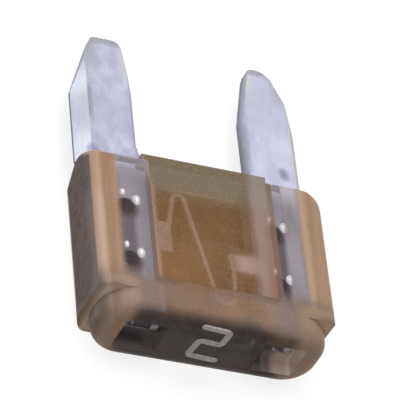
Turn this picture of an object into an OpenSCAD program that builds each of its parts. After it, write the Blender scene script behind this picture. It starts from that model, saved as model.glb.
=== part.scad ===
// Mini blade fuse: a one-piece moulded plastic housing and the one-piece stamped link that it holds.
// Millimetres. The fuse lies on its broad back: +X is its width, +Y points along the blades away from
// the head, and +Z is the normal of its front face. The origin is under the middle of its box.

/* [Housing] */
// Width of the housing across its two columns
body_w = 10.9; // [10.9:0.1:12.5]
// Thickness of the housing at its head and its columns
body_t = 3.6; // [3.4:0.1:4.6]
// Length of the housing from the head face to its blade end
body_l = 9; // [8.9:0.1:10]
// Radius along the long edges of the housing
edge_r = 0.6; // [0.2:0.05:0.8]
// How far the broad faces of the columns stop short of the crest of their domed ends
dome_sag = 0.9; // [0.4:0.1:1.2]
// Corner radius of the left column at the blade end
end_corner_left_r = 0.3; // [0.25:0.05:1.3]
// Corner radius of the right column at the blade end
end_corner_right_r = 1.4; // [0.3:0.05:1.4]
// Angle at which the corners of the columns lean back with the dome
end_corner_lean = 34; // [20:1:40]

/* [Head] */
// Height of the narrower head above the shoulders
head_h = 1.15; // [0.95:0.05:1.3]
// How far each side of the head stands back from the side of the housing
head_inset = 0.25; // [0.15:0.05:0.6]
// Radius along the long edges of the head, which is rounder than the columns
head_round_r = 1.5; // [0.9:0.05:1.65]
// Radius all round the head face
head_edge_r = 0.7; // [0.1:0.05:0.8]
// Radius of the shoulders beside the head
shoulder_r = 0.35; // [0.1:0.05:0.5]

/* [Window] */
// Width of the window panel between the columns
window_w = 5.8; // [5.4:0.1:6]
// Distance from the head face to the near end of the window panel
window_start = 1.9; // [1.6:0.1:2.4]
// Depth of the window panel below each broad face
window_depth = 0.45; // [0.2:0.05:0.5]
// Thickness of the plastic wall over the hollow of the window panel
window_wall = 0.45; // [0.3:0.05:0.5]
// Radius of the window's corners beside the head
window_corner_r = 0.3; // [0.1:0.05:0.6]
// Radius along the edges of the window panel at the blade end
panel_edge_r = 0.25; // [0.1:0.05:0.4]

/* [Probe slots] */
// Distance from the middle to the middle of each probe slot
probe_x = 3.2; // [3.1:0.05:3.3]
// Width of each probe slot in the head face
probe_w = 1.9; // [1.6:0.1:2]
// Height of each probe slot across the thickness of the head
probe_h = 1.9; // [1.4:0.1:2]
// Depth of each probe slot below the head face
probe_depth = 0.75; // [0.4:0.05:0.9]
// Radius of the corners of each probe slot
probe_corner_r = 0.15; // [0.05:0.05:0.3]

/* [Blades] */
// Length of the fuse from the head face to the tips of the blades
overall_l = 16.2; // [16:0.1:18]
// Width of each blade
blade_w = 2.75; // [2.7:0.05:2.9]
// Thickness of the stamped link
link_t = 0.8; // [0.6:0.05:0.9]
// How far the outer edge of each blade stands in from the side of the housing
blade_inset = 0; // [0:0.01:0.15]
// Length of the tapered point of each blade
tip_l = 3.2; // [2:0.1:4]
// How far the outer edge of the left blade leans in towards the tip
tip_left_outer_in = 1.05; // [0.5:0.05:1.3]
// How far the outer edge of the right blade leans in towards the tip
tip_right_outer_in = 1.45; // [0.5:0.05:1.45]
// How far the inner edge of the left blade leans in towards the tip
tip_left_inner_in = 0.45; // [0.1:0.05:0.6]
// How far the inner edge of the right blade leans in towards the tip
tip_right_inner_in = 0.55; // [0.1:0.05:0.6]
// Corner radius of the left tip
tip_left_r = 0.35; // [0.1:0.05:0.4]
// Corner radius of the right tip
tip_right_r = 0.5; // [0.1:0.05:0.5]
// Width of the coined bevel on the front of each blade's outer edge
bevel_w = 0.57; // [0.2:0.01:0.7]
// Thickness that the bevel leaves at the outer edge
bevel_land = 0.15; // [0.1:0.05:0.4]
// Width of the small bevel on the front of each blade's inner edge
inner_bevel = 0.14; // [0.05:0.01:0.25]
// Length over which both faces of a tip thin down
nose_l = 0.6; // [0.2:0.1:1]
// Thickness of the very end of each tip
nose_t = 0.3; // [0.2:0.05:0.55]

/* [Link in the housing] */
// Distance from the middle to the outer edge of the link inside each column
stem_outer_x = 4.1; // [4:0.05:4.3]
// Distance from the middle to the inner edge of the left stem
stem_left_x = 2.05; // [1.9:0.05:2.4]
// Distance from the middle to the inner edge of the right stem
stem_right_x = 2.4; // [2.1:0.05:2.5]
// Radius of the fillet that widens the root of the left blade inwards
root_r = 0.9; // [0.8:0.1:2]
// Clearance between the link and the plastic around it
link_clear = 0.04; // [0.02:0.01:0.08]
// Distance from the middle to the stakes in each column
stake_x = 3.5; // [3.3:0.05:3.55]
// Distance from the head face to the nearer stake of each column
stake_y = 3.75; // [3.2:0.05:4]
// Distance between the two stakes in a column
stake_pitch = 2.85; // [2:0.05:3.2]
// Radius of each plastic stake
stake_r = 0.36; // [0.25:0.01:0.4]

/* [Element] */
// Thickness of the tabs that carry the element
tab_t = 0.4; // [0.3:0.05:0.5]
// Distance from the middle to the end of the left tab
tab_left_x = 1.45; // [1.35:0.05:1.5]
// Distance from the head face to the middle of the left tab
tab_left_y = 5.3; // [5:0.1:5.6]
// Height of the left tab
tab_left_h = 1.6; // [0.8:0.1:1.8]
// Distance from the middle to the end of the right tab
tab_right_x = 1.2; // [1.15:0.05:1.3]
// Distance from the head face to the middle of the right tab
tab_right_y = 4.55; // [4.3:0.05:4.9]
// Height of the right tab
tab_right_h = 0.9; // [0.6:0.1:1.2]
// Width of the thin element
strand_w = 0.2; // [0.15:0.01:0.26]
// Thickness of the thin element
strand_t = 0.25; // [0.2:0.05:0.3]
// Distance from the middle to the centre of the element's bend towards the blade end
upper_bend_x = -0.95; // [-1.1:0.05:-0.8]
// Distance from the head face to the centre of that bend
upper_bend_y = 7.45; // [6.6:0.05:7.6]
// Radius of that bend along the middle of the element
upper_bend_r = 0.28; // [0.2:0.01:0.34]
// Distance from the middle to the centre of the element's bend towards the head
lower_bend_x = 0.85; // [0.75:0.05:0.9]
// Distance from the head face to the centre of that bend
lower_bend_y = 2.7; // [2.6:0.05:3.2]
// Radius of that bend along the middle of the element
lower_bend_r = 0.45; // [0.3:0.01:0.48]

/* [Hidden] */
$fn = 64;
// A cut runs this far past the face that it opens
past = 1;
// Solids that are joined overlap by this much
bite = 0.02;
// Radius that the mould's core leaves in the hollow's corners
core_r = 0.2;
// The head face lies half the length behind the origin
head_y = -overall_l / 2;
mid_z = body_t / 2;
head_w = body_w - 2 * head_inset;
dome_r = (pow(dome_sag, 2) + pow(mid_z, 2)) / (2 * dome_sag);
// Where the line that a leaning corner follows crosses the middle plane; it touches the dome
lean_y = body_l - dome_r + dome_r / cos(end_corner_lean);
slot_t = link_t + 2 * link_clear;
hollow_t = body_t - 2 * window_depth - 2 * window_wall;
hollow_w = window_w - 2 * window_wall;
// The hollow ends short of the element's lower bend by the thickness of its wall
hollow_start = lower_bend_y - lower_bend_r - strand_w / 2 - window_wall;
stem_start = probe_depth + link_clear;
blade_start = body_l + link_clear;
blade_outer_x = body_w / 2 - blade_inset;
blade_inner_x = blade_outer_x - blade_w;
link_top = mid_z + link_t / 2;
upper_bend = [upper_bend_x, upper_bend_y];
lower_bend = [lower_bend_x, lower_bend_y];
// The element starts and ends this far inside the tabs
foot_in = strand_w;

function unit(v) = v / norm(v);
function turned(v, a) = [v[0] * cos(a) - v[1] * sin(a), v[0] * sin(a) + v[1] * cos(a)];

// Where a straight run from a point touches a bend, on the left as seen along the run
function touch(from, centre, r) =
  let(away = centre - from, way = turned(unit(away), asin(r / norm(away))))
  centre + r * turned(way, 90);

// A rectangle from p to q with its own radius at each corner, in the order low left, low right,
// high right, high left
module plate_2d(p, q, radii) {
  corners = [[p[0], p[1]], [q[0], p[1]], [q[0], q[1]], [p[0], q[1]]];
  flips = [[0, 0], [1, 0], [1, 1], [0, 1]];
  difference() {
    translate(p) square(q - p);
    for (i = [0:3])
      if (radii[i] > 0)
        translate(corners[i]) mirror([flips[i][0], 0]) mirror([0, flips[i][1]])
          difference() {
            translate([-bite, -bite]) square(radii[i] + bite);
            translate([radii[i], radii[i]]) circle(radii[i]);
          }
  }
}

// Lays a shape drawn in X and Z along Y, from the head towards the blades
module along_y(start, length) {
  translate([0, start + length, 0]) rotate([90, 0, 0]) linear_extrude(length) children();
}

// Lays a shape drawn in Y and Z along X, centred on the middle
module along_x(length) {
  translate([-length / 2, 0, 0]) rotate([90, 0, 90]) linear_extrude(length) children();
}

module end_view(w, r) {
  plate_2d([-w / 2, 0], [w / 2, body_t], [r, r, r, r]);
}

// Side view of the columns, domed at the blade end
module domed_view() {
  intersection() {
    square([body_l, body_t]);
    union() {
      translate([body_l - dome_r, mid_z]) circle(dome_r);
      square([body_l - dome_sag, body_t]);
    }
  }
}

module full_width_block() {
  intersection() {
    linear_extrude(body_t)
      plate_2d([-body_w / 2, head_h], [body_w / 2, body_l], [shoulder_r, shoulder_r, 0, 0]);
    along_y(head_h, body_l - head_h) end_view(body_w, edge_r);
    along_x(body_w + past) domed_view();
  }
}

// The head keeps one radius all round its face, also round its four long edges
module head_block() {
  length = head_h + shoulder_r;
  corner_x = head_w / 2 - head_round_r;
  along_x(2 * corner_x)
    plate_2d([0, 0], [length, body_t], [head_edge_r, 0, 0, head_edge_r]);
  translate([0, 0, head_round_r])
    linear_extrude(body_t - 2 * head_round_r)
      plate_2d([-head_w / 2, 0], [head_w / 2, length], [head_edge_r, head_edge_r, 0, 0]);
  for (x = [-corner_x, corner_x], z = [head_round_r, body_t - head_round_r])
    translate([x, 0, z]) rotate([-90, 0, 0])
      rotate_extrude()
        plate_2d([0, 0], [head_round_r, length], [0, head_edge_r, 0, 0]);
}

// Rounds the front corner of the right column at the blade end, leaning back with the dome
module leaning_corner_cut(r) {
  intersection() {
    translate([body_w / 2 - r, lean_y, mid_z])
      rotate([end_corner_lean, 0, 0])
        translate([0, -r, -body_t])
          linear_extrude(2 * body_t)
            difference() {
              square(r + past);
              circle(r);
            }
    translate([0, head_h, mid_z]) cube([body_w, body_l + past, body_t]);
  }
}

module corner_cuts() {
  for (face = [0, 1])
    translate([0, 0, face * body_t]) mirror([0, 0, face]) {
      leaning_corner_cut(end_corner_right_r);
      mirror([1, 0, 0]) leaning_corner_cut(end_corner_left_r);
    }
}

module solid_body() {
  difference() {
    union() {
      full_width_block();
      head_block();
    }
    corner_cuts();
  }
}

// Clears the room between the columns, through the whole thickness
module window_room() {
  translate([0, 0, -past])
    linear_extrude(body_t + 2 * past)
      plate_2d([-window_w / 2, window_start], [window_w / 2, body_l + past],
               [window_corner_r, window_corner_r, 0, 0]);
}

// The panel between the columns ends square, level with the crest of their domed ends
module window_panel() {
  along_x(window_w + 2 * bite)
    plate_2d([window_start - bite, window_depth], [body_l, body_t - window_depth],
             [0, panel_edge_r, panel_edge_r, 0]);
}

// The hollow round the element is open towards the blades, the way the mould's core came out
module window_hollow() {
  translate([0, 0, mid_z - hollow_t / 2])
    linear_extrude(hollow_t)
      plate_2d([-hollow_w / 2, hollow_start], [hollow_w / 2, body_l + past], [core_r, core_r, 0, 0]);
}

module stem_slots() {
  length = body_l + past - probe_depth;
  left = stem_outer_x + link_clear;
  translate([0, probe_depth, mid_z - slot_t / 2]) {
    translate([-left, 0, 0]) cube([left - stem_left_x + link_clear, length, slot_t]);
    translate([stem_right_x - link_clear, 0, 0])
      cube([left - stem_right_x + link_clear, length, slot_t]);
  }
}

module probe_slot() {
  r = probe_corner_r;
  along_y(-past, probe_depth + past)
    plate_2d([-probe_w / 2, mid_z - probe_h / 2], [probe_w / 2, mid_z + probe_h / 2], [r, r, r, r]);
}

module at_stakes() {
  for (x = [-stake_x, stake_x], row = [0, 1])
    translate([x, stake_y + row * stake_pitch, mid_z]) children();
}

module housing() {
  color([0.6, 0.47, 0.36])
    translate([0, head_y, 0]) {
      difference() {
        union() {
          difference() {
            solid_body();
            window_room();
          }
          window_panel();
        }
        window_hollow();
        stem_slots();
        for (x = [-probe_x, probe_x]) translate([x, 0, 0]) probe_slot();
      }
      at_stakes() cylinder(h = slot_t + 2 * bite, r = stake_r, center = true);
    }
}

// One blade seen from the front, with its outer edge on the right
module blade_2d(outer_in, inner_in, corner_r) {
  tip_start = overall_l - tip_l;
  outer_normal = turned(unit([-outer_in, tip_l]), -90);
  inner_normal = turned(unit([inner_in, tip_l]), 90);
  outer_tip_x = blade_outer_x - outer_in;
  inner_tip_x = blade_inner_x + inner_in;
  // How far each arc's centre stands in from the unrounded corner, for a radius of 1
  outer_share = (1 - outer_normal[1]) / outer_normal[0];
  inner_share = (1 - inner_normal[1]) / -inner_normal[0];
  r = min(corner_r, (outer_tip_x - inner_tip_x - bite) / (outer_share + inner_share));
  outer_c = [outer_tip_x - r * outer_share, overall_l - r];
  inner_c = [inner_tip_x + r * inner_share, overall_l - r];
  polygon([[blade_inner_x, blade_start], [blade_outer_x, blade_start], [blade_outer_x, tip_start],
           outer_c + r * outer_normal, outer_c + [0, r],
           inner_c + [0, r], inner_c + r * inner_normal, [blade_inner_x, tip_start]]);
  translate(outer_c) circle(r);
  translate(inner_c) circle(r);
}

// The stem inside a column, seen from the front, with its outer edge on the right
module stem_2d(inner_x) {
  translate([inner_x, stem_start]) square([stem_outer_x - inner_x, blade_start + bite - stem_start]);
}

// Widens the root of the left blade, drawn with its outer edge on the right like the blade itself
module root_fillet_2d() {
  widening = blade_inner_x - stem_left_x;
  height = sqrt(pow(root_r, 2) - pow(root_r - widening, 2));
  difference() {
    translate([stem_left_x, blade_start]) square([widening + bite, height]);
    translate([blade_inner_x - root_r, blade_start + height]) circle(root_r);
  }
}

// Coins the front of one outer edge
module edge_bevel() {
  slope = (link_t - bevel_land) / bevel_w;
  along_y(blade_start - past, overall_l + past)
    polygon([[blade_outer_x - bevel_w - past, link_top + past * slope],
             [blade_outer_x + past, link_top + past * slope],
             [blade_outer_x + past, link_top - (bevel_w + past) * slope]]);
}

// Breaks the front of one inner edge, clear of the root and of the stems
module inner_edge_bevel() {
  along_y(blade_start + root_r, overall_l)
    polygon([[blade_inner_x - past, link_top - inner_bevel - past],
             [blade_inner_x - past, link_top + past],
             [blade_inner_x + inner_bevel + past, link_top + past]]);
}

// Thins the front face of both tips
module nose_cut() {
  slope = (link_t - nose_t) / 2 / nose_l;
  along_x(2 * blade_outer_x + past)
    polygon([[overall_l - nose_l - past, link_top + past * slope],
             [overall_l + past, link_top - (nose_l + past) * slope],
             [overall_l + past, link_top + past]]);
}

module stem_holes() {
  at_stakes() cylinder(h = link_t + past, r = stake_r + link_clear, center = true);
}

module tabs_2d() {
  translate([-stem_left_x - bite, tab_left_y - tab_left_h / 2])
    square([stem_left_x - tab_left_x + bite, tab_left_h]);
  translate([tab_right_x, tab_right_y - tab_right_h / 2])
    square([stem_right_x - tab_right_x + bite, tab_right_h]);
}

// A straight run of the element
module run_2d(p, q) {
  way = q - p;
  translate(p) rotate(atan2(way[1], way[0])) translate([-bite, -strand_w / 2])
    square([norm(way) + 2 * bite, strand_w]);
}

// A bend from p round to q; "open" points from the centre to the side that the bend leaves open
module bend_2d(centre, r, p, q, open) {
  far = 3;
  difference() {
    translate(centre) circle(r + strand_w / 2);
    translate(centre) circle(r - strand_w / 2);
    polygon([centre, centre + far * (p - centre), centre + far * (p - centre) + far * r * open,
             centre + far * (q - centre) + far * r * open, centre + far * (q - centre)]);
  }
}

// The element: up from the left tab, over the upper bend, down, and round the lower bend to the
// right tab
module strand_2d() {
  left_foot = [-tab_left_x - foot_in, tab_left_y];
  right_foot = [tab_right_x + foot_in, tab_right_y];
  across = lower_bend - upper_bend;
  way = turned(unit(across), asin((upper_bend_r + lower_bend_r) / norm(across)));
  a = touch(left_foot, upper_bend, upper_bend_r);
  b = upper_bend + upper_bend_r * turned(way, 90);
  c = lower_bend - lower_bend_r * turned(way, 90);
  d = touch(right_foot, lower_bend, lower_bend_r);
  run_2d(left_foot, a);
  bend_2d(upper_bend, upper_bend_r, a, b, [0, -1]);
  run_2d(b, c);
  bend_2d(lower_bend, lower_bend_r, c, d, [0, 1]);
  run_2d(d, right_foot);
}

module fuse_link() {
  color([0.78, 0.78, 0.84])
    translate([0, head_y, 0]) {
      difference() {
        translate([0, 0, mid_z - link_t / 2])
          linear_extrude(link_t) {
            blade_2d(tip_right_outer_in, tip_right_inner_in, tip_right_r);
            stem_2d(stem_right_x);
            mirror([1, 0]) {
              blade_2d(tip_left_outer_in, tip_left_inner_in, tip_left_r);
              stem_2d(stem_left_x);
              root_fillet_2d();
            }
          }
        for (side = [0, 1]) mirror([side, 0, 0]) {
          edge_bevel();
          inner_edge_bevel();
        }
        nose_cut();
        translate([0, 0, body_t]) mirror([0, 0, 1]) nose_cut();
        stem_holes();
      }
      translate([0, 0, link_top - tab_t]) linear_extrude(tab_t) tabs_2d();
      translate([0, 0, link_top - strand_t]) linear_extrude(strand_t) strand_2d();
    }
}

housing();
fuse_link();
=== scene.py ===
"""Looks of the mini blade fuse: a smoky translucent housing over a coined zinc link."""
import math

import bpy
import bmesh
from mathutils import Matrix, Vector


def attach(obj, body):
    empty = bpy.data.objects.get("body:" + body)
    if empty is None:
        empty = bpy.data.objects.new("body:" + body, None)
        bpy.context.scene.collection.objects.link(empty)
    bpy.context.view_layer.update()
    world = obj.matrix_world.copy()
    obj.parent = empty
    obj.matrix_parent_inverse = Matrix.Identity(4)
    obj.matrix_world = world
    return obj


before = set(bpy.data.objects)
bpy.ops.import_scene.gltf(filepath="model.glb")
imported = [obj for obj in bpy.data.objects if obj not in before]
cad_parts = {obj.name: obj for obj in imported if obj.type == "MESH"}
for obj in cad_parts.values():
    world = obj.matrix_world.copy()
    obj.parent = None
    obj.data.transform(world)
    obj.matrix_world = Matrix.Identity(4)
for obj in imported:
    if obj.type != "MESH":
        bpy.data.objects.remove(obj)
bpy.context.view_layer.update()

MM = 0.001

# Places and lengths of the part, in millimetres; every y but HEAD_Y is measured from the head face
HEAD_Y = -8.1  # the head face in the row frame
MID_Z = 1.8  # the middle of the thickness
LINK_TOP = 2.2  # the upper face of the link
PANEL_X = 2.9  # half the width of the window panel
PANEL_Y = 1.9  # where the panel starts
BODY_Y = 9.0  # the housing's end towards the blades
PROBE_X = 3.2  # the middle of a probe opening
PROBE_HALF = 0.95  # half the width and half the height of the opening
STAKES = [(x, y) for x in (-3.5, 3.5) for y in (3.75, 6.6)]

# The colours, as red, green and blue on a screen, 0 to 255
COLOURS = {
    "white": (255, 255, 255),
    # The front of the plastic
    "tan": (160, 127, 102),
    "tan_dark": (146, 113, 87),
    "orange": (186, 152, 124),
    "orange_dark": (176, 140, 110),
    "column_stripe": (204, 174, 148),
    "over_metal": (118, 106, 108),
    "over_metal_top": (232, 226, 232),
    "refracted": (150, 142, 150),
    "refracted_pale": (168, 162, 172),
    "refracted_top": (202, 196, 204),
    "brown": (130, 92, 54),
    "brown_pale": (146, 106, 66),
    "window_glow": (176, 124, 78),
    "olive": (126, 110, 88),
    "stem_haze": (180, 152, 140),
    "tab_haze": (186, 156, 142),
    "top_haze": (158, 148, 142),
    "ashen": (136, 119, 110),
    "dome_haze": (160, 146, 142),
    "grain": (204, 180, 156),
    "pit": (70, 52, 42),
    # Its sides, its edges and the head
    "smoky_shaded_low": (52, 34, 28),
    "smoky": (84, 58, 44),
    "smoky_lit_high": (132, 104, 86),
    "smoky_foot": (48, 34, 30),
    "edge_left": (218, 180, 154),
    "edge_right": (194, 166, 146),
    "wall_left": (186, 142, 122),
    "wall_right": (186, 160, 150),
    "head_end": (172, 142, 120),
    "shoulder": (214, 180, 154),
    "head_face": (82, 72, 68),
    "head_face_dark": (68, 58, 58),
    # Its hollow and the probe openings, from the mouth inwards and from the left to the right
    "hollow": (110, 76, 42),
    "hole_mouth": (92, 82, 80),
    "hole_deep_shade": (18, 12, 14),
    "hole_left_wall": (76, 66, 64),
    "hole_grey": (120, 110, 116),
    "hole_pale": (202, 178, 166),
    "hole_bright": (228, 200, 184),
    "hole_lip_light": (150, 140, 146),
    # The blades
    "zinc": (200, 200, 220),
    "zinc_dark": (176, 175, 200),
    "zinc_streak": (156, 154, 178),
    "zinc_right_lit": (208, 209, 232),
    "zinc_upper": (182, 183, 206),
    "zinc_middle": (166, 165, 188),
    "inner_edge_shade": (150, 150, 176),
    "crease_shade": (112, 108, 132),
    "bevel_left_highlight": (226, 229, 244),
    "bevel_right_highlight": (228, 228, 222),
    "bevel_rim_shade": (188, 191, 202),
    "bruise": (120, 116, 150),
    "tip_highlight": (206, 206, 200),
    "taper_shade": (166, 168, 174),
    "tip_end_shade": (154, 154, 166),
    "side_shaded_low": (124, 127, 144),
    "side_lit_high": (190, 192, 216),
    # The metal inside the plastic
    "stem": (196, 190, 204),
    "stem_shade": (96, 88, 98),
    "stake_shade": (56, 48, 54),
    "element": (255, 232, 226),
    "stem_end_shade": (64, 56, 60),
    "stem_end_glint": (206, 200, 208),
    # The small pieces
    "numeral": (196, 186, 178),
    "numeral_dark": (168, 158, 150),
    "gloss": (34, 24, 28),
    "cup_shade_dark": (20, 14, 18),
    "glint": (255, 252, 250),
    "glint_dark": (240, 232, 232),
}


def linear(level):
    """A screen's level of red, green or blue, 0 to 255, as the number that a shader takes."""
    level /= 255
    return level / 12.92 if level <= 0.04045 else ((level + 0.055) / 1.055) ** 2.4


INK = {name: (*map(linear, rgb), 1) for name, rgb in COLOURS.items()}


def at(x, y, z):
    """A point in the row frame, in metres, from millimetres with y measured from the head face."""
    return Vector((x * MM, (y + HEAD_Y) * MM, z * MM))


# ---------------------------------------------------------------- node helpers
class Tree:
    """Short calls for building a material's nodes; lengths in the masks are millimetres."""

    def __init__(self, name):
        self.mat = bpy.data.materials.new(name)
        self.mat.use_nodes = True
        self.nodes = self.mat.node_tree.nodes
        self.links = self.mat.node_tree.links
        self.shader = self.nodes["Principled BSDF"]
        coords = self.nodes.new("ShaderNodeTexCoord")
        scaled = self.nodes.new("ShaderNodeVectorMath")
        scaled.operation = "MULTIPLY_ADD"
        self.links.new(coords.outputs["Object"], scaled.inputs[0])
        scaled.inputs[1].default_value = (1 / MM, 1 / MM, 1 / MM)
        scaled.inputs[2].default_value = (0, -HEAD_Y, 0)
        self.at = scaled.outputs[0]
        split = self.nodes.new("ShaderNodeSeparateXYZ")
        self.links.new(self.at, split.inputs[0])
        self.x, self.y, self.z = split.outputs
        facing = self.nodes.new("ShaderNodeSeparateXYZ")
        self.links.new(coords.outputs["Normal"], facing.inputs[0])
        self.nx, self.ny, self.nz = facing.outputs
        self.ax = self.math("ABSOLUTE", self.x)
        self.deep = self.math("ABSOLUTE", self.math("SUBTRACT", self.z, MID_Z))
        self.flat = self.math("ABSOLUTE", self.nz)
        self.right = self.rise(self.x, -1, 1)

    def put(self, socket, value):
        """Gives a socket a number, a colour by its name, or the output of another node."""
        if isinstance(value, str):
            socket.default_value = INK[value]
        elif isinstance(value, (int, float)):
            socket.default_value = value
        else:
            self.links.new(value, socket)

    def math(self, kind, a, b=None, clamp=False):
        n = self.nodes.new("ShaderNodeMath")
        n.operation = kind
        n.use_clamp = clamp
        self.put(n.inputs[0], a)
        if b is not None:
            self.put(n.inputs[1], b)
        return n.outputs[0]

    def rise(self, value, low, high):
        """0 below low, 1 above high, smooth between them; it falls where low is above high."""
        n = self.nodes.new("ShaderNodeMapRange")
        n.interpolation_type = "SMOOTHSTEP"
        self.put(n.inputs["Value"], value)
        n.inputs["From Min"].default_value = min(low, high)
        n.inputs["From Max"].default_value = max(low, high)
        n.inputs["To Min"].default_value = 0 if low < high else 1
        n.inputs["To Max"].default_value = 1 if low < high else 0
        return n.outputs[0]

    def band(self, value, low, high, soft):
        """1 between low and high, 0 outside, with soft edges."""
        return self.both(self.rise(value, low - soft, low + soft),
                         self.rise(value, high + soft, high - soft))

    def both(self, *masks):
        """1 where all the masks are 1."""
        out = masks[0]
        for m in masks[1:]:
            out = self.math("MULTIPLY", out, m)
        return out

    def spots(self, centres, radius, soft):
        """1 within radius of any of the points, fading over soft."""
        out = 0.0
        for centre in centres:
            n = self.nodes.new("ShaderNodeVectorMath")
            n.operation = "DISTANCE"
            self.links.new(self.at, n.inputs[0])
            n.inputs[1].default_value = centre
            out = self.math("ADD", out, self.rise(n.outputs["Value"], radius + soft, radius), clamp=True)
        return out

    def noise(self, scale, detail, stretch=(1, 1, 1)):
        m = self.nodes.new("ShaderNodeMapping")
        self.links.new(self.at, m.inputs["Vector"])
        m.inputs["Scale"].default_value = stretch
        n = self.nodes.new("ShaderNodeTexNoise")
        self.links.new(m.outputs[0], n.inputs["Vector"])
        n.inputs["Scale"].default_value = scale
        n.inputs["Detail"].default_value = detail
        n.inputs["Roughness"].default_value = 0.55
        return n.outputs["Fac"]

    def blend(self, share, a, b):
        """Colour a where share is 0, b where it is 1."""
        n = self.nodes.new("ShaderNodeMix")
        n.data_type = "RGBA"
        # The node has sockets for every data type; these are the colours' ones
        self.put(n.inputs[0], share)
        self.put(n.inputs[6], a)
        self.put(n.inputs[7], b)
        return n.outputs[2]

    def tint(self, colour, mask, ink, strength=1.0):
        """The colour with the ink over it where the mask is 1."""
        if strength < 1.0:
            mask = self.math("MULTIPLY", mask, strength)
        return self.blend(mask, colour, ink)

    def level(self, share, a, b):
        """Number a where share is 0, b where it is 1."""
        n = self.nodes.new("ShaderNodeMix")
        n.data_type = "FLOAT"
        self.put(n.inputs[0], share)
        self.put(n.inputs[2], a)
        self.put(n.inputs[3], b)
        return n.outputs[0]

    def soft_edges(self, radius):
        """The surface's normal with its sharp edges rounded by a radius in metres."""
        n = self.nodes.new("ShaderNodeBevel")
        n.samples = 4
        self.put(n.inputs["Radius"], radius)
        return n.outputs[0]

    def bump(self, height, strength, distance, base=None):
        n = self.nodes.new("ShaderNodeBump")
        n.inputs["Strength"].default_value = strength
        n.inputs["Distance"].default_value = distance
        self.links.new(height, n.inputs["Height"])
        if base is not None:
            self.links.new(base, n.inputs["Normal"])
        self.links.new(n.outputs[0], self.shader.inputs["Normal"])

    def set(self, **values):
        """Gives the shader's sockets their values, by name with _ for a space."""
        for name, value in values.items():
            self.put(self.shader.inputs[name.replace("_", " ")], value)


# ------------------------------------------------------------------- plastic
class HousingMasks:
    """Where on the housing its plastic looks unlike the rest."""

    def __init__(self, t):
        # The front and the back, as against the sides and the ends
        self.broad = t.rise(t.flat, 0.35, 0.8)
        # How squarely a surface looks away from the blades, from -1 to 1
        self.to_head = t.math("MULTIPLY", t.ny, -1)
        self.window = t.both(t.rise(t.ax, PANEL_X + 0.05, PANEL_X - 0.05),
                             t.rise(t.y, PANEL_Y - 0.2, PANEL_Y + 0.2))
        self.window_wall = t.both(t.band(t.ax, PANEL_X - 0.04, PANEL_X + 0.04, 0.02),
                                  t.rise(t.flat, 0.5, 0.2), t.rise(t.y, PANEL_Y - 0.2, PANEL_Y + 0.1))
        # The columns are clear over the stems; the outer part of the right stem shows refracted
        left_strip = t.band(t.x, -4.42, -2.0, 0.2)
        right_strip = t.band(t.x, 2.0, 3.34, 0.1)
        along = t.rise(t.y, 1.4, 2.5)
        self.strip = t.both(t.math("ADD", left_strip, right_strip), along)
        self.refracted = t.both(t.rise(t.x, 3.14, 3.38), t.rise(t.x, 4.3, 3.9), along)
        # The stems and the right tab show as haze through the rims of the panel
        left_rim, right_rim = t.band(t.x, -3.2, -2.55, 0.2), t.band(t.x, 2.05, 3.2, 0.2)
        self.rims = t.both(self.window, t.math("ADD", right_rim, left_rim))
        self.tab = t.both(self.window, t.band(t.x, 1.1, 2.3, 0.25), t.band(t.y, 3.35, 4.3, 0.3))
        # The faces of the hollow and of the slot behind it, and the walls of the probe openings
        self.inside = t.both(t.rise(t.deep, 1.02, 0.98), t.rise(t.ax, 4.3, 4.2), t.band(t.y, 0.05, 8.7, 0.02))
        self.slot = t.both(self.inside, t.rise(t.deep, 0.5, 0.47), t.rise(t.ax, 1.9, 1.98),
                           t.rise(t.y, 0.8, 0.9))
        reach = PROBE_HALF + 0.17
        self.probe = t.both(t.band(t.ax, PROBE_X - reach, PROBE_X + reach, 0.02), t.rise(t.y, 0.004, 0.02),
                            t.rise(t.y, 0.82, 0.78), t.rise(t.deep, PROBE_HALF + 0.08, PROBE_HALF + 0.05))


def column_colour(t, on, cloud):
    """The columns and the head as seen from the front, with the stems in them."""
    tan = t.blend(t.rise(cloud, 0.35, 0.65), "tan", "tan_dark")
    fibre = t.rise(t.noise(2.4, 3, (1, 0.08, 1)), 0.35, 0.65)
    orange = t.blend(fibre, "orange", "orange_dark")
    colour = t.tint(tan, t.both(t.rise(t.ax, 4.0, 4.3), t.rise(t.y, 1.2, 2.4)), orange)
    colour = t.tint(colour, on.strip, "over_metal")
    streak = t.rise(t.noise(1.2, 3, (1, 0.25, 1)), 0.35, 0.65)
    colour = t.tint(colour, on.refracted, t.blend(streak, "refracted", "refracted_pale"))
    # The metal shines through towards the blades
    top = t.rise(t.y, 6.8, 8.0)
    colour = t.tint(colour, t.both(on.strip, top), "over_metal_top")
    colour = t.tint(colour, t.both(on.refracted, top), "refracted_top")
    stripe = t.both(t.band(t.x, 4.14, 4.45, 0.14), t.band(t.y, 1.6, 8.2, 0.3))
    return t.tint(colour, stripe, "column_stripe", 0.75)


def window_colour(t, on, colour, cloud):
    """The window panel: brown, paler at its lower left, olive and hazy towards the blades."""
    brown = t.blend(t.rise(t.noise(0.4, 3), 0.35, 0.65), "brown", "brown_pale")
    colour = t.tint(colour, on.window, brown)
    glow = t.both(on.window, t.rise(t.y, 5.2, 2.6), t.rise(t.x, 0.8, -1.6))
    colour = t.tint(colour, glow, "window_glow", 0.5)
    colour = t.tint(colour, t.both(on.window, t.rise(t.y, 6.3, 7.7)), "olive")
    haze = t.both(on.rims, t.rise(t.y, 8.6, 7.2), t.level(cloud, 0.45, 0.75))
    colour = t.tint(colour, haze, "stem_haze")
    colour = t.tint(colour, on.tab, "tab_haze", 0.8)
    top = t.both(on.window, t.band(t.x, 2.1, 3.2, 0.25), t.rise(t.y, 6.6, 7.8))
    return t.tint(colour, top, "top_haze", 0.75)


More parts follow.
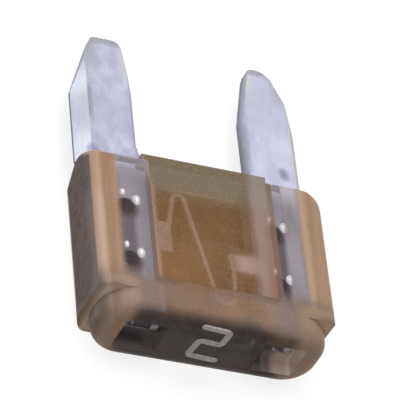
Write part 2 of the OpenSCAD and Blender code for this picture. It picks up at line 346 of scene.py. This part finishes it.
def outer_colour(t, on, colour, cloud):
    """The sides, the ends, the head and the edges, laid over the colour of the front."""
    # The front of the head is greyer below the stems, and in patches
    patches = t.rise(t.noise(0.8, 4, (1, 1.6, 1)), 0.42, 0.66)
    below_stems = t.band(t.ax, 2.4, 3.9, 0.4)
    ashen = t.both(t.rise(t.y, 2.5, 1.8), t.math("MAXIMUM", patches, below_stems))
    colour = t.tint(colour, ashen, "ashen", 0.6)
    left_dome = t.both(t.rise(t.y, 7.9, 8.7), t.band(t.x, -5.0, -4.2, 0.25))
    colour = t.tint(colour, left_dome, "dome_haze", 0.6)
    # Sides and ends are seen through more plastic, so they look smokier; low down they get painted shade, and
    # towards the front painted light
    smoky = t.blend(t.rise(t.z, 0.2, 2.4), "smoky_shaded_low", "smoky")
    smoky = t.tint(smoky, t.rise(t.z, 2.3, 3.3), "smoky_lit_high")
    smoky = t.tint(smoky, t.both(t.rise(t.y, 4.6, 2.6), t.level(cloud, 0.2, 0.7)), "smoky_foot")
    colour = t.tint(smoky, on.broad, colour)
    # The ends of the head and the shoulders beside it stay about as pale as the front
    left_end = t.both(t.rise(t.x, -3.5, -4.3), t.level(t.rise(t.nx, -0.95, -0.4), 0.35, 1.0))
    right_end = t.rise(t.x, 3.2, 4.0)
    head_ends = t.both(t.math("ADD", left_end, right_end), t.rise(t.y, 1.9, 1.5))
    colour = t.tint(colour, head_ends, "head_end")
    # Pale grains and dark pits cover all of it
    grains = t.both(t.rise(t.noise(9, 2), 0.45, 0.75), t.level(on.broad, 0.04, 0.14))
    colour = t.tint(colour, grains, "grain")
    colour = t.tint(colour, t.rise(t.noise(14, 2), 0.52, 0.7), "pit", 0.16)
    # Painted light: the shoulder faces look away from the lamps, and are painted paler to lift the shade in
    # the crease there
    shoulder = t.both(t.rise(t.ax, 2.5, 2.9), t.band(t.y, 1.0, 1.9, 0.1), t.rise(on.to_head, 0.1, 0.4),
                      t.rise(t.math("ABSOLUTE", t.nx), 0.45, 0.25))
    colour = t.tint(colour, shoulder, "shoulder")
    # The head face is in the shade, but for its two ends
    face = t.both(t.rise(on.to_head, 0.1, 0.95), t.rise(t.y, 1.0, 0.1), t.rise(t.x, -4.3, -3.5),
                  t.rise(t.x, 3.1, 1.4))
    dark = t.blend(t.rise(t.noise(1.3, 4), 0.38, 0.62), "head_face", "head_face_dark")
    colour = t.tint(colour, face, dark)
    # The rounded long edges catch a paler light, and the walls beside the window a pinkish one
    edge = t.both(t.band(t.flat, 0.14, 0.84, 0.12), t.rise(t.ax, 4.85, 5.0), t.rise(t.y, 1.4, 2.6))
    colour = t.tint(colour, edge, t.blend(t.right, "edge_left", "edge_right"), 0.9)
    return t.tint(colour, on.window_wall, t.blend(t.right, "wall_left", "wall_right"))


def inner_colour(t, on, colour):
    """The hollow and the probe openings: painted shade deeper in, a painted highlight on their upper lip, the
    right one pale towards its outer side.
    """
    # Painted shade: the openings darken from the mouth inwards
    hole = t.blend(t.rise(t.y, 0.2, 0.6), "hole_mouth", "hole_deep_shade")
    hole = t.tint(hole, t.rise(t.x, 2.7, 2.9), "hole_grey")
    hole = t.tint(hole, t.rise(t.x, 3.1, 3.5), "hole_pale")
    hole = t.tint(hole, t.rise(t.x, 3.9, 4.15), "hole_bright")
    left_wall = t.both(t.rise(t.x, -2.9, -2.4), t.rise(t.x, 0.5, -0.5))
    hole = t.tint(hole, left_wall, "hole_left_wall")
    colour = t.tint(colour, on.inside, "hollow")
    colour = t.tint(colour, on.probe, hole)
    # Painted highlight: a broken pale band along the upper lip of the openings
    lit_lip = t.both(on.probe, t.rise(t.z, 2.66, 2.74), t.rise(t.noise(2.5, 3), 0.35, 0.6))
    return t.tint(colour, lit_lip, "hole_lip_light")


def housing_alpha(t, on):
    """How much of what lies behind each place of the plastic it covers."""
    alpha = t.level(on.strip, 0.88, 0.27)
    # The panel's lower wall lets less of the floor show than its upper wall
    upper = t.rise(t.z, 1.6, 2.0)
    alpha = t.level(on.window, alpha, t.level(upper, 0.88, 0.65))
    alpha = t.level(on.rims, alpha, 0.86)
    alpha = t.level(t.both(on.tab, upper), alpha, 0.78)
    # Past here the view through the panel would leave by the open end of the hollow
    alpha = t.level(t.both(on.window, t.rise(t.y, 6.8, 7.2)), alpha, 0.97)
    alpha = t.level(on.broad, 0.94, alpha)
    alpha = t.level(t.rise(t.y, BODY_Y - 0.1, BODY_Y - 0.01), alpha, 0.8)
    alpha = t.level(on.inside, alpha, 0.3)
    alpha = t.level(on.slot, alpha, 0.08)
    alpha = t.level(on.probe, alpha, 0.85)
    alpha = t.level(on.window_wall, alpha, t.level(t.right, 0.55, 0.86))
    # Much of the light that falls on the plastic goes through it, though little can be seen through it
    path = t.nodes.new("ShaderNodeLightPath")
    return t.math("MULTIPLY", alpha, t.level(path.outputs["Is Shadow Ray"], 1.0, 0.3))


def housing_edge_radius(t, on):
    """Soft edges, softest at the shoulders, but sharp ones round the panel and the openings."""
    panel = t.both(t.rise(t.ax, 3.1, 2.9), t.rise(t.y, 1.5, 1.9))
    reach = PROBE_HALF + 0.35
    openings = t.both(t.band(t.ax, PROBE_X - reach, PROBE_X + reach, 0.05), t.rise(t.deep, 1.25, 1.15),
                      t.rise(t.y, 0.9, 0.8))
    head_face = t.rise(t.y, 0.05, 0.03)
    sharp = panel
    for mask in (on.inside, openings, head_face):
        sharp = t.math("MAXIMUM", sharp, mask)
    shoulder = t.both(t.rise(t.ax, 2.9, 3.4), t.rise(t.y, 2.4, 1.9))
    return t.level(sharp, t.level(shoulder, 0.25 * MM, 0.5 * MM), 0.02 * MM)


def plastic():
    t = Tree("smoky_plastic")
    on = HousingMasks(t)
    cloud = t.noise(0.55, 4)
    colour = column_colour(t, on, cloud)
    colour = window_colour(t, on, colour, cloud)
    colour = outer_colour(t, on, colour, cloud)
    colour = inner_colour(t, on, colour)
    rough = t.level(t.rise(t.noise(3, 3), 0.4, 0.7), 0.3, 0.45)
    t.set(Base_Color=colour, Alpha=housing_alpha(t, on), Roughness=rough, IOR=1.4, Specular_IOR_Level=0.12)
    t.bump(t.noise(2.2, 4), 0.25, 0.06 * MM, t.soft_edges(housing_edge_radius(t, on)))
    return t.mat


# --------------------------------------------------------------------- metal
def blade_colour(t, fine):
    """The blades in the open: mottled zinc with a few dark marks, and painted highlights and shade on its
    bevels, edges, tips and sides.
    """
    cloud = t.noise(1.1, 5, (1, 0.7, 1))
    colour = t.blend(t.rise(cloud, 0.36, 0.64), "zinc", "zinc_dark")
    colour = t.tint(colour, t.rise(fine, 0.5, 0.8), "zinc_streak", 0.3)
    # Painted light: the right blade is lighter than the left
    colour = t.tint(colour, t.rise(t.x, 2.6, 3.4), "zinc_right_lit", 0.4)
    # Painted shade, darker along the inner edges and in a broken line in the crease beside the left bevel
    colour = t.tint(colour, t.rise(t.ax, 3.0, 2.7), "inner_edge_shade", 0.5)
    patchy = t.rise(t.noise(1.6, 4, (1, 0.3, 1)), 0.4, 0.62)
    crease_shade = t.both(t.band(t.x, -4.9, -4.7, 0.14), patchy, t.rise(t.y, 15.0, 14.0))
    colour = t.tint(colour, crease_shade, "crease_shade", 0.8)
    # Painted highlights on the bevels: white on the left blade's, a cream band on the right blade's, with
    # painted shade at its outer rim
    bevel = t.both(t.band(t.flat, 0.3, 0.9, 0.08), t.rise(t.ax, 4.6, 4.9))
    right_bevel_light = t.blend(t.rise(t.x, 5.0, 5.25), "bevel_right_highlight", "bevel_rim_shade")
    colour = t.tint(colour, bevel, t.blend(t.right, "bevel_left_highlight", right_bevel_light))
    for x, y in ((4.38, 10.2), (4.42, 9.95), (-4.85, 9.5), (-4.6, 9.2)):
        colour = t.tint(colour, t.spots([(x, y, LINK_TOP)], 0.08, 0.3), "bruise", 0.6)
    colour = t.tint(colour, t.both(t.right, t.rise(t.y, 12.0, 13.4)), "zinc_upper", 0.45)
    # The left blade is darker over its middle
    darker_middle = t.both(t.rise(t.x, 1, -1), t.band(t.y, 10.6, 12.8, 0.8))
    colour = t.tint(colour, darker_middle, "zinc_middle", 0.5)
    # The tips get a painted cream highlight towards their inner edges, painted shade where they taper, and
    # darker painted shade at their ends
    tip = t.rise(t.y, 13.4, 15.2)
    highlit = t.both(tip, t.rise(t.ax, 3.5, 3.1), t.level(cloud, 1.0, 0.3))
    colour = t.tint(colour, highlit, "tip_highlight")
    colour = t.tint(colour, t.both(tip, t.rise(t.ax, 4.0, 4.6)), "taper_shade")
    colour = t.tint(colour, t.both(t.rise(t.y, 15.5, 15.9), t.level(fine, 0.4, 1.0)), "tip_end_shade")
    # Painted shade and light on the blades' sides: darker towards the back, lighter towards the front face
    side = t.blend(t.rise(t.z, 1.4, 2.15), "side_shaded_low", "side_lit_high")
    return t.tint(colour, t.rise(t.flat, 0.3, 0.1), side)


def enclosed_colour(t, colour, enclosed):
    """The metal inside the plastic: grey stems, and a pale element on pinkish tabs."""
    colour = t.tint(colour, enclosed, "stem", 0.7)
    outer = t.math("ADD", t.rise(t.x, -2.9, -3.3), t.band(t.x, 3.1, 4.0, 0.15))
    shade = t.both(enclosed, outer, t.band(t.y, 2.7, 6.7, 0.4))
    colour = t.tint(colour, shade, "stem_shade", 0.85)
    # Painted shade: a soft dark halo round each stake, where its hole looks dark
    stake_shadows = t.spots([(x + 0.08, y - 0.12, LINK_TOP) for x, y in STAKES], 0.30, 0.42)
    colour = t.tint(colour, stake_shadows, "stake_shade", 0.9)
    colour = t.tint(colour, t.both(enclosed, t.rise(t.ax, 2.45, 2.2)), "element")
    # The sheared ends in the probe openings are painted dark as shade, with a few painted glints
    glints = t.rise(t.noise(2.6, 3, (1, 1, 0.6)), 0.48, 0.6)
    return t.tint(colour, t.rise(t.y, 1.3, 1.0), t.blend(glints, "stem_end_shade", "stem_end_glint"))


def metal():
    t = Tree("coined_zinc")
    fine = t.noise(7, 4, (1, 0.35, 1))
    enclosed = t.rise(t.y, BODY_Y, BODY_Y - 0.6)
    colour = enclosed_colour(t, blade_colour(t, fine), enclosed)
    rough = t.level(t.rise(fine, 0.35, 0.7), 0.42, 0.6)
    t.set(Base_Color=colour, Metallic=t.level(enclosed, 0.3, 0.0), Roughness=rough, IOR=1.5)
    scratches = t.noise(24, 2, (1, 0.15, 1))
    t.bump(t.math("ADD", fine, scratches), 0.35, 0.04 * MM, t.soft_edges(0.11 * MM))
    return t.mat


def dress(piece, material):
    piece.data.materials.clear()
    piece.data.materials.append(material)


def paint(node, material):
    """Gives a CAD node a material in its object's slots, with its mesh left alone."""
    for slot in node.material_slots:
        slot.link = "OBJECT"
        slot.material = material


paint(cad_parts["housing"], plastic())
paint(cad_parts["fuse_link"], metal())


# --------------------------------------------------------------------- pieces
def mesh_piece(name, verts, faces, material):
    me = bpy.data.meshes.new(name)
    me.from_pydata([tuple(v) for v in verts], [], faces)
    me.update()
    bm = bmesh.new()
    bm.from_mesh(me)
    bmesh.ops.remove_doubles(bm, verts=bm.verts, dist=1e-8)
    bmesh.ops.recalc_face_normals(bm, faces=bm.faces)
    bm.to_mesh(me)
    bm.free()
    for p in me.polygons:
        p.use_smooth = True
    ob = bpy.data.objects.new(name, me)
    bpy.context.collection.objects.link(ob)
    dress(ob, material)
    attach(ob, "root")


def tube(path, radius, around, flat, caps=4):
    """A bead along a path in the plane of the head face, with round ends.

    It is round where flat is 1 and lower than it is wide where flat is less.
    """
    first = (path[1] - path[0]).normalized()
    last = (path[-1] - path[-2]).normalized()
    # Each station has a place, a size as a share of the radius, and a direction
    stations = []
    for k in range(caps, 0, -1):
        a = k / caps * math.pi / 2
        stations.append((path[0] - first * radius * math.sin(a), math.cos(a), first))
    for i, point in enumerate(path):
        way = path[min(i + 1, len(path) - 1)] - path[max(i - 1, 0)]
        stations.append((point, 1.0, way.normalized()))
    for k in range(1, caps + 1):
        a = k / caps * math.pi / 2
        stations.append((path[-1] + last * radius * math.sin(a), math.cos(a), last))

    verts, faces = [], []
    out = Vector((0, -1, 0))
    smallest = 0.02
    for point, size, way in stations:
        across = way.cross(out).normalized()
        r = radius * max(size, smallest)
        for j in range(around):
            b = 2 * math.pi * j / around
            verts.append(point + across * (r * math.cos(b)) + out * (r * flat * math.sin(b)))
    for i in range(len(stations) - 1):
        for j in range(around):
            k = (j + 1) % around
            faces.append((i * around + j, i * around + k, (i + 1) * around + k, (i + 1) * around + j))
    end = (len(stations) - 1) * around
    faces.append(tuple(range(around)))
    faces.append(tuple(end + j for j in range(around)))
    return verts, faces


def rounded_path(corners, radius, steps=6):
    """The corners' polyline with each inner corner rounded, within just under half of its sides."""
    share = 1 / 2.2
    out = [corners[0]]
    for a, b, c in zip(corners, corners[1:], corners[2:]):
        r = min(radius, (a - b).length * share, (c - b).length * share)
        p, q = b + (a - b).normalized() * r, b + (c - b).normalized() * r
        for k in range(steps + 1):
            s = k / steps
            out.append(p * (1 - s) ** 2 + b * 2 * s * (1 - s) + q * s ** 2)
    out.append(corners[-1])
    return out


def numeral():
    """The rating, a plain 2 in raised strokes on the head face, square like a mould engraver's."""
    stroke_r, stroke_flat, corner_r = 0.155 * MM, 0.5, 0.22 * MM
    t = Tree("raised_numeral")
    colour = t.blend(t.rise(t.noise(4, 3), 0.35, 0.65), "numeral", "numeral_dark")
    t.set(Base_Color=colour, Roughness=0.35)
    t.bump(t.noise(12, 3), 0.3, 0.03 * MM)
    corners = [(-0.78, 3.2), (0.42, 3.1), (0.36, 2.17), (-0.66, 2.26), (-0.78, 1.16), (0.5, 1.07)]
    path = rounded_path([at(x, 0.0, z) for x, z in corners], corner_r)
    verts, faces = tube(path, stroke_r, 12, stroke_flat)
    mesh_piece("rating_numeral", verts, faces, t.mat)


def lathe(profile, x, y, around, long=1.0):
    """The points and faces of a profile of (radius, z) turned about an upright axis.

    The profile starts on the axis, and the form is long times as long in y as it is wide in x.
    """
    verts, faces = [at(x, y, profile[0][1])], []
    for r, z in profile[1:]:
        for j in range(around):
            b = 2 * math.pi * j / around
            verts.append(at(x + r * math.cos(b), y + long * r * math.sin(b), z))
    for j in range(around):
        faces.append((0, 1 + j, 1 + (j + 1) % around))
    for i in range(len(profile) - 2):
        for j in range(around):
            k = (j + 1) % around
            a, b = 1 + i * around, 1 + (i + 1) * around
            faces.append((a + j, b + j, b + k, a + k))
    return verts, faces


def stake_cup_shade():
    """Painted shade for a stake's hole: nearly black in the middle of a cup, and faded out towards its rim.
    """
    t = Tree("stake_cup_shade")
    colour = t.blend(t.rise(t.noise(3, 3), 0.35, 0.65), "gloss", "cup_shade_dark")
    shown = t.spots([(x - 0.04, y + 0.08, LINK_TOP - 0.1) for x, y in STAKES], 0.04, 0.36)
    t.set(Base_Color=colour, Alpha=shown, Roughness=0.5, Specular_IOR_Level=0.1)
    return t.mat


def glint_glow():
    """Painted glints: bright metal that glows a little though it is no lamp, so that it shows through the
    haze above it.
    """
    t = Tree("glint_glow")
    colour = t.blend(t.rise(t.noise(6, 2), 0.35, 0.65), "glint", "glint_dark")
    t.set(Base_Color=colour, Roughness=0.2, Metallic=0.6, Emission_Color="white", Emission_Strength=0.45)
    return t.mat


# The dished front of a stake, as (radius, z) from its middle over the rim
CUP = [(0.0, 2.02), (0.12, 2.03), (0.22, 2.08), (0.30, 2.16), (0.34, 2.225), (0.37, 2.235),
       (0.40, 2.225), (0.41, 2.205)]
CUP_SIDES = 28
# The two glowing beads beside a stake that stand for its painted glints, as x and y from its middle, and
# their radius; they are long in y
GLINT_BEADS = ((0.52, 0.38, 0.18), (-0.12, 0.72, 0.12))
GLINT_LONG = 1.45
GLINT_SIDES = 14
GLINT_FOOT = LINK_TOP + 0.01


def glint_profile(r):
    """A dome of radius r on the link, as (radius, z) from its top to its foot."""
    return [(0.0, GLINT_FOOT + r), (0.5 * r, GLINT_FOOT + 0.86 * r), (0.87 * r, GLINT_FOOT + 0.5 * r),
            (r, LINK_TOP + 0.005), (0.8 * r, LINK_TOP)]


def stake(number, x, y, gloss, bright):
    """The dished front of one stake, dark as painted shade, and two glowing beads beside it as its painted
    glints.
    """
    verts, faces = lathe(CUP, x, y, CUP_SIDES)
    mesh_piece(f"stake_cup_{number}", verts, faces, gloss)
    verts, faces = [], []
    for dx, dy, r in GLINT_BEADS:
        profile = glint_profile(r)
        more, skin = lathe(profile, x + dx, y + dy, GLINT_SIDES, GLINT_LONG)
        start = len(verts)
        verts += more
        faces += [tuple(start + i for i in face) for face in skin]
        foot = start + 1 + (len(profile) - 2) * GLINT_SIDES
        faces.append(tuple(foot + j for j in range(GLINT_SIDES)))
    mesh_piece(f"stake_glints_{number}", verts, faces, bright)


numeral()
gloss, bright = stake_cup_shade(), glint_glow()
for number, (x, y) in enumerate(STAKES, 1):
    stake(number, x, y, gloss, bright)


# ---------------------------------------------------------------------- stage
FLOOR_HALF = 2.0
FLOOR_GAP = 0.02 * MM
FLOOR_GREY = 0.3
FLOOR_GLOW = 0.78
WORLD_LIGHT = 0.3
WORLD_WHITE = 1.0

# Name, place in metres, width in metres and power in watts; each lamp looks at the part
LAMPS = (
    ("key", (-0.02, 0.05, 0.20), 0.14, 0.27),
    ("rim", (0.14, 0.12, 0.10), 0.06, 0.03),
    ("edge", (-0.15, 0.12, 0.06), 0.08, 0.05),
    ("front", (-0.06, -0.20, 0.10), 0.16, 0.08),
)


def by_ray(tree, unseen, seen, out):
    """Gives an output one shader for the light it casts and another for what is seen of it.

    It is seen by the camera's rays, and by those that show it in metal or through plastic.
    """
    path = tree.nodes.new("ShaderNodeLightPath")
    shows = path.outputs["Is Camera Ray"]
    for kind in ("Is Transmission Ray", "Is Glossy Ray"):
        either = tree.nodes.new("ShaderNodeMath")
        either.operation = "MAXIMUM"
        tree.links.new(shows, either.inputs[0])
        tree.links.new(path.outputs[kind], either.inputs[1])
        shows = either.outputs[0]
    mix = tree.nodes.new("ShaderNodeMixShader")
    tree.links.new(shows, mix.inputs[0])
    tree.links.new(unseen.outputs[0], mix.inputs[1])
    tree.links.new(seen.outputs[0], mix.inputs[2])
    tree.links.new(mix.outputs[0], out.inputs["Surface"])


def stage_material():
    mat = bpy.data.materials.new("pale_floor")
    mat.use_nodes = True
    tree = mat.node_tree
    tree.nodes.clear()
    lit = tree.nodes.new("ShaderNodeBsdfDiffuse")
    lit.inputs["Color"].default_value = (FLOOR_GREY, FLOOR_GREY, FLOOR_GREY, 1)
    glow = tree.nodes.new("ShaderNodeEmission")
    glow.inputs["Color"].default_value = INK["white"]
    glow.inputs["Strength"].default_value = FLOOR_GLOW
    pale = tree.nodes.new("ShaderNodeAddShader")
    tree.links.new(lit.outputs[0], pale.inputs[0])
    tree.links.new(glow.outputs[0], pale.inputs[1])
    by_ray(tree, lit, pale, tree.nodes.new("ShaderNodeOutputMaterial"))
    return mat


def floor():
    h = FLOOR_HALF
    me = bpy.data.meshes.new("floor")
    me.from_pydata([(-h, -h, 0), (h, -h, 0), (h, h, 0), (-h, h, 0)], [], [(0, 1, 2, 3)])
    ob = bpy.data.objects.new("floor", me)
    bpy.context.collection.objects.link(ob)
    ob.location.z = -FLOOR_GAP
    dress(ob, stage_material())


def studio():
    world = bpy.data.worlds.new("studio")
    bpy.context.scene.world = world
    world.use_nodes = True
    tree = world.node_tree
    tree.nodes.clear()
    low, white = (tree.nodes.new("ShaderNodeBackground") for _ in range(2))
    low.inputs["Strength"].default_value = WORLD_LIGHT
    white.inputs["Strength"].default_value = WORLD_WHITE
    by_ray(tree, low, white, tree.nodes.new("ShaderNodeOutputWorld"))


def lamp(name, where, width, power):
    data = bpy.data.lights.new(name, "AREA")
    data.shape = "SQUARE"
    data.size = width
    data.energy = power
    ob = bpy.data.objects.new(name, data)
    bpy.context.collection.objects.link(ob)
    ob.location = where
    ob.rotation_mode = "QUATERNION"
    ob.rotation_quaternion = (-Vector(where)).to_track_quat("-Z", "Y")


floor()
studio()
for values in LAMPS:
    lamp(*values)

# --------------------------------------------------------------------- camera
# Solved on the photograph's edges; lens and sensor in millimetres, places in metres
LENS = 282.29
SENSOR = 36
CAMERA_AT = (-0.048975539, -0.083671681, 0.099738611)
RIGHT = Vector((0.917267, -0.084672, 0.389167))
DOWN = Vector((0.175834, -0.790658, -0.586466))
AHEAD = Vector((0.357355, 0.606375, -0.710357))
NEAREST = 0.001
FARTHEST = 50

cam_data = bpy.data.cameras.new("camera")
cam_data.lens = LENS
cam_data.sensor_width = SENSOR
cam_data.clip_start = NEAREST
cam_data.clip_end = FARTHEST
camera = bpy.data.objects.new("camera", cam_data)
bpy.context.collection.objects.link(camera)
turn = Matrix((RIGHT, -DOWN, -AHEAD)).transposed()
camera.matrix_world = Matrix.Translation(CAMERA_AT) @ turn.to_4x4()
bpy.context.scene.camera = camera
bpy.context.scene.view_settings.view_transform = "Standard"
